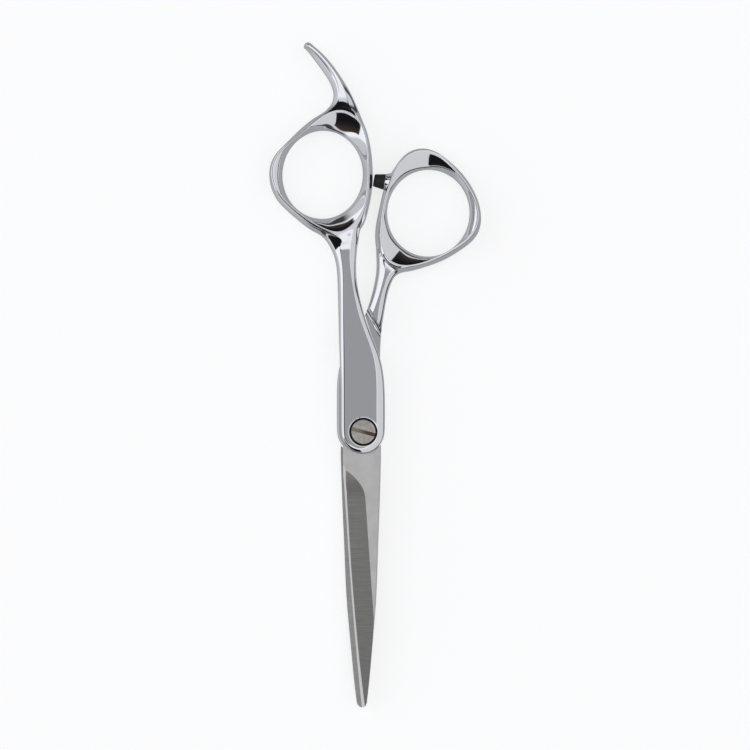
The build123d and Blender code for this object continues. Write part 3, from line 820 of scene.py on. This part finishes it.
def make_chrome():
    """Mirror-polished steel with faint polishing haze, and painted shade that darkens it down in the
    screw's pocket.
    """
    material, tree, shader = node_tree("polished_steel")
    place = axes(tree, "Object")
    # Painted shade: dark near the pivot and below the screw's top, where the pocket is in shade.
    near = mask_below(tree, from_pivot(tree, place), *POCKET_RADIUS)
    low = mask_below(tree, place["Z"], *POCKET_TOP)
    pocket = math_node(tree, "MULTIPLY", near, low)
    tree.links.new(blend(tree, pocket, POLISHED, POCKET_SHADE), shader.inputs["Base Color"])
    shader.inputs["Metallic"].default_value = 1.0
    haze = noise(tree, (220, 220, 220), 6)
    rough = span(tree, haze, FULL_NOISE, (0.035, 0.09))
    tree.links.new(rough, shader.inputs["Roughness"])
    return material


def make_blade_steel(name, inner_way):
    """Ground steel: satin flats, a darker hollow grind with lines across it that pales where the
    wheel ran out, a polished edge bevel, and a dark lapped inner face, which faces up or down by
    the sign of inner_way.
    """
    material, tree, shader = node_tree(name)
    shader.inputs["Metallic"].default_value = 1.0
    facing = axes(tree, "Normal")
    upright = math_node(tree, "ABSOLUTE", facing["Z"])
    flat = smooth_mask(tree, upright, *FLAT_FACING)
    bevel = smooth_mask(tree, math_node(tree, "SUBTRACT", 1.0, upright), *BEVEL_FACING)
    inward = math_node(tree, "MULTIPLY", facing["Z"], inner_way)
    inner = smooth_mask(tree, inward, *INNER_FACING)
    tipward = math_node(tree, "MULTIPLY", facing["Y"], -1.0)
    run_out = smooth_mask(tree, tipward, *RUN_OUT_FACING)
    grain = noise(tree, (160, 5200, 160), 5)
    cloud = noise(tree, (260, 260, 260), 3)
    satin = shades(tree, cloud, CLEAR_NOISE, SATIN)
    lapped = shades(tree, grain, CLEAR_NOISE, LAPPED)
    hollow = shades(tree, grain, CLEAR_NOISE, HOLLOW)
    ground = blend(tree, run_out, hollow, RUN_OUT)
    body = blend(tree, inner, blend(tree, flat, ground, satin), lapped)
    tree.links.new(blend(tree, bevel, body, HONED), shader.inputs["Base Color"])
    tree.links.new(span(tree, bevel, (0, 1), (0.4, 0.16)), shader.inputs["Roughness"])
    bump(tree, shader, grain, 0.15, 0.00002)
    return material


def make_screw_steel():
    """Warm turned steel with a painted highlight on its rim, and painted shade and reflection in the
    slot, dark brown and darker towards one end of it.
    """
    material, tree, shader = node_tree("turned_steel")
    shader.inputs["Metallic"].default_value = 1.0
    place = axes(tree, "Object")
    rings = tree.nodes.new("ShaderNodeTexNoise")
    rings.noise_dimensions = "1D"
    rings.inputs["Scale"].default_value = 9000
    rings.inputs["Detail"].default_value = 4
    tree.links.new(from_pivot(tree, place), rings.inputs["W"])
    cloud = noise(tree, (900, 900, 900), 5)
    face = shades(tree, cloud, CLEAR_NOISE, TURNED)
    # Painted shade and reflection in the slot: dark brown, darker towards one end.
    slot_shade = blend(tree, smooth_mask(tree, place["X"], *SLOT_SHADE_REACH), *SLOT_SHADE)
    deep = mask_below(tree, place["Z"], *SLOT_TOP)
    upward = axes(tree, "Normal")["Z"]
    upper = smooth_mask(tree, upward, *RIM_FACING)
    level = smooth_mask(tree, upward, *TOP_FACING)
    # Painted highlight: the tilted rim between the screw's top and side is near white.
    rim = math_node(tree, "SUBTRACT", upper, level)
    body = blend(tree, deep, face, slot_shade)
    tree.links.new(blend(tree, rim, body, RIM_HIGHLIGHT), shader.inputs["Base Color"])
    tree.links.new(span(tree, rim, (0, 1), (0.32, 0.1)), shader.inputs["Roughness"])
    bump(tree, shader, rings.outputs["Fac"], 0.3, 0.00002)
    return material


def make_plain_metal(name, dark, light, low, high):
    """A machined metal with a little unevenness of colour and gloss."""
    material, tree, shader = node_tree(name)
    shader.inputs["Metallic"].default_value = 1.0
    cloud = noise(tree, (500, 500, 500), 5)
    colour = shades(tree, cloud, FULL_NOISE, (dark, light))
    tree.links.new(colour, shader.inputs["Base Color"])
    tree.links.new(span(tree, cloud, FULL_NOISE, (low, high)), shader.inputs["Roughness"])
    return material


def make_moulded(name, dark, light, low, high):
    """A moulded rubber or plastic with a fine matte grain."""
    material, tree, shader = node_tree(name)
    cloud = noise(tree, (900, 900, 900), 4)
    colour = shades(tree, cloud, FULL_NOISE, (dark, light))
    tree.links.new(colour, shader.inputs["Base Color"])
    tree.links.new(span(tree, cloud, FULL_NOISE, (low, high)), shader.inputs["Roughness"])
    bump(tree, shader, noise(tree, (6000, 6000, 6000), 3), 0.25, 0.00003)
    return material


def dress(piece, material):
    """Gives a piece one material."""
    piece.data.materials.clear()
    piece.data.materials.append(material)


def sky_ramp(tree, tilt, stops):
    """Brightness by degrees from straight up, given as (degrees, level) pairs."""
    ramp = tree.nodes.new("ShaderNodeValToRGB")
    tree.links.new(tilt, ramp.inputs["Fac"])
    elements = ramp.color_ramp.elements
    elements[0].position = stops[0][0] / 180
    elements[1].position = stops[-1][0] / 180
    for degrees, _ in stops[1:-1]:
        elements.new(degrees / 180)
    for element, (_, level) in zip(elements, stops):
        element.color = (*(level * share for share in SKY_TINT), 1)
    return ramp.outputs["Color"]


def make_world():
    """The studio that the metal mirrors: grey overhead, a bright left side, cards and gaps."""
    world = bpy.data.worlds.new("studio")
    bpy.context.scene.world = world
    world.use_nodes = True
    tree = world.node_tree
    x, y, z = axes(tree, "Generated")
    tilt = math_node(tree, "DIVIDE", math_node(tree, "ARCCOSINE", z), math.pi)
    degrees = math_node(tree, "MULTIPLY", tilt, 180.0)
    azimuth = math_node(tree, "ARCTAN2", y, x)
    around = math_node(tree, "MODULO", math_node(tree, "ADD", azimuth, math.tau), math.tau)
    turn = math_node(tree, "MULTIPLY", around, 180.0 / math.pi)
    left = sky_ramp(tree, tilt, LEFT_SKY)
    right = sky_ramp(tree, tilt, RIGHT_SKY)
    off_left = smooth_mask(tree, apart(tree, turn, LEFT_DIRECTION), *LEFT_EDGE)
    colour = blend(tree, off_left, left, right)
    card_colour = blend(tree, smooth_mask(tree, degrees, *CARD_FADE), *CARD_COLOURS)
    for centre, half_turn, height, half_height in DARK_CARDS:
        margins = (
            math_node(tree, "SUBTRACT", half_turn, apart(tree, turn, centre)),
            math_node(tree, "SUBTRACT", half_height, apart(tree, degrees, height)),
        )
        inside = [smooth_mask(tree, margin, -CARD_EDGE, CARD_EDGE) for margin in margins]
        colour = blend(tree, math_node(tree, "MULTIPLY", *inside), colour, card_colour)
    tree.links.new(colour, tree.nodes["Background"].inputs["Color"])


def make_floor():
    """A pale table that glows so that it stays near white, and that the metal doesn't mirror."""
    bm = bmesh.new()
    bmesh.ops.create_grid(bm, x_segments=1, y_segments=1, size=FLOOR_HALF)
    floor = new_object("floor", bm)
    floor.location.z = cad_bounds[0][2] - FLOOR_GAP * MM
    floor.visible_glossy = False
    material, _, shader = node_tree("table")
    shader.inputs["Base Color"].default_value = (0.5, 0.5, 0.5, 1)
    shader.inputs["Roughness"].default_value = 0.9
    shader.inputs["Specular IOR Level"].default_value = 0.1
    shader.inputs["Emission Color"].default_value = (1, 1, 1, 1)
    shader.inputs["Emission Strength"].default_value = FLOOR_GLOW
    dress(floor, material)


def make_camera():
    """A long lens looking straight down, with the shears slightly off its centre."""
    data = bpy.data.cameras.new("camera")
    data.lens = LENS
    data.sensor_width = SENSOR
    camera = bpy.data.objects.new("camera", data)
    bpy.context.scene.collection.objects.link(camera)
    height = FRAME_WIDTH * LENS / SENSOR
    camera.location = (FRAME_CENTRE[0] * MM, FRAME_CENTRE[1] * MM, (MID + height) * MM)
    bpy.context.scene.camera = camera


# The two handles, as (piece, CAD node that it stands for, body that it rides on).
HANDLES = (
    (make_finger_handle(), "finger_handle", "finger_half"),
    (make_thumb_handle(), "thumb_handle", "thumb_half"),
)
chrome = make_chrome()
for handle, node, body in HANDLES:
    dress(handle, chrome)
    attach(handle, body)
    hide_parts(node)

# Every other piece keeps its CAD shape. A plain metal's or a moulding's numbers are its darker
# and lighter colour, then the least and most of its roughness.
finger_blade_steel = make_blade_steel("finger_blade_steel", -1.0)
thumb_blade_steel = make_blade_steel("thumb_blade_steel", 1.0)
screw_steel = make_screw_steel()
nut_steel = make_plain_metal("nut_steel", (0.50, 0.50, 0.50), (0.62, 0.62, 0.62), 0.2, 0.32)
spring_steel = make_plain_metal("spring_steel", (0.30, 0.29, 0.27), (0.42, 0.40, 0.37), 0.25, 0.4)
bronze = make_plain_metal("bush_bronze", (0.36, 0.22, 0.10), (0.50, 0.32, 0.16), 0.25, 0.4)
stud_steel = make_plain_metal("stud_steel", (0.50, 0.50, 0.50), (0.60, 0.60, 0.60), 0.25, 0.35)
rubber = make_moulded("black_rubber", (0.012, 0.012, 0.012), (0.024, 0.023, 0.022), 0.5, 0.7)
ptfe = make_moulded("washer_ptfe", (0.70, 0.70, 0.68), (0.80, 0.80, 0.78), 0.4, 0.5)
nylon = make_moulded("insert_nylon", (0.72, 0.72, 0.66), (0.80, 0.80, 0.74), 0.4, 0.5)
NODE_MATERIALS = {
    "finger_blade": finger_blade_steel,
    "thumb_blade": thumb_blade_steel,
    "tension_screw": screw_steel,
    "head_washer": spring_steel,
    "spring_washer": spring_steel,
    "pivot_bush": bronze,
    "bumper": rubber,
    "bumper_stud": stud_steel,
    "thrust_washer": ptfe,
    "lock_nut": nut_steel,
    "nut_insert": nylon,
}
for node, material in NODE_MATERIALS.items():
    for material_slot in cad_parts[node].material_slots:
        material_slot.material = material

make_world()
make_floor()
make_camera()
bpy.context.scene.view_settings.view_transform = "Standard"
